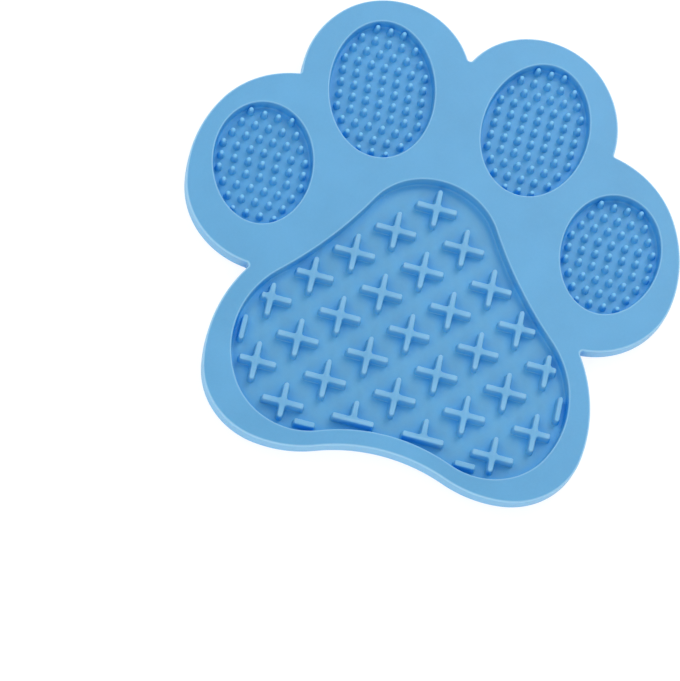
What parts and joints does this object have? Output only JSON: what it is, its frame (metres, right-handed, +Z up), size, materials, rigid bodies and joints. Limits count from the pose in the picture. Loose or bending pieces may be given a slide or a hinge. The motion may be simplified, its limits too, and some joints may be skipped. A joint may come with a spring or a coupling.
{
  "type": "lick mat",
  "caption": "Soft paw-shaped mat for feeding a pet by licking: studded toe recesses, ribbed pad recess, suction cups beneath.",
  "frame": {"origin": "under the middle of the paw's outline, on the plane of the suction cups' lips", "axes": "+Z up out of the recesses, +Y from the heel towards the toes, +X across the paw to the viewer's right"},
  "size_m": [0.2, 0.2016, 0.0078],
  "materials": {
    "silicone": "satin moulded silicone, sky blue"
  },
  "bodies": {
    "root": {"rim_frame": "silicone", "pad_bed": "silicone", "outer_left_toe_bed": "silicone", "inner_left_toe_bed": "silicone", "inner_right_toe_bed": "silicone", "outer_right_toe_bed": "silicone", "pad_crosses": "silicone", "pad_tees": "silicone", "pad_bars": "silicone", "suction_cups": "silicone"}
  },
  "joints": []
}
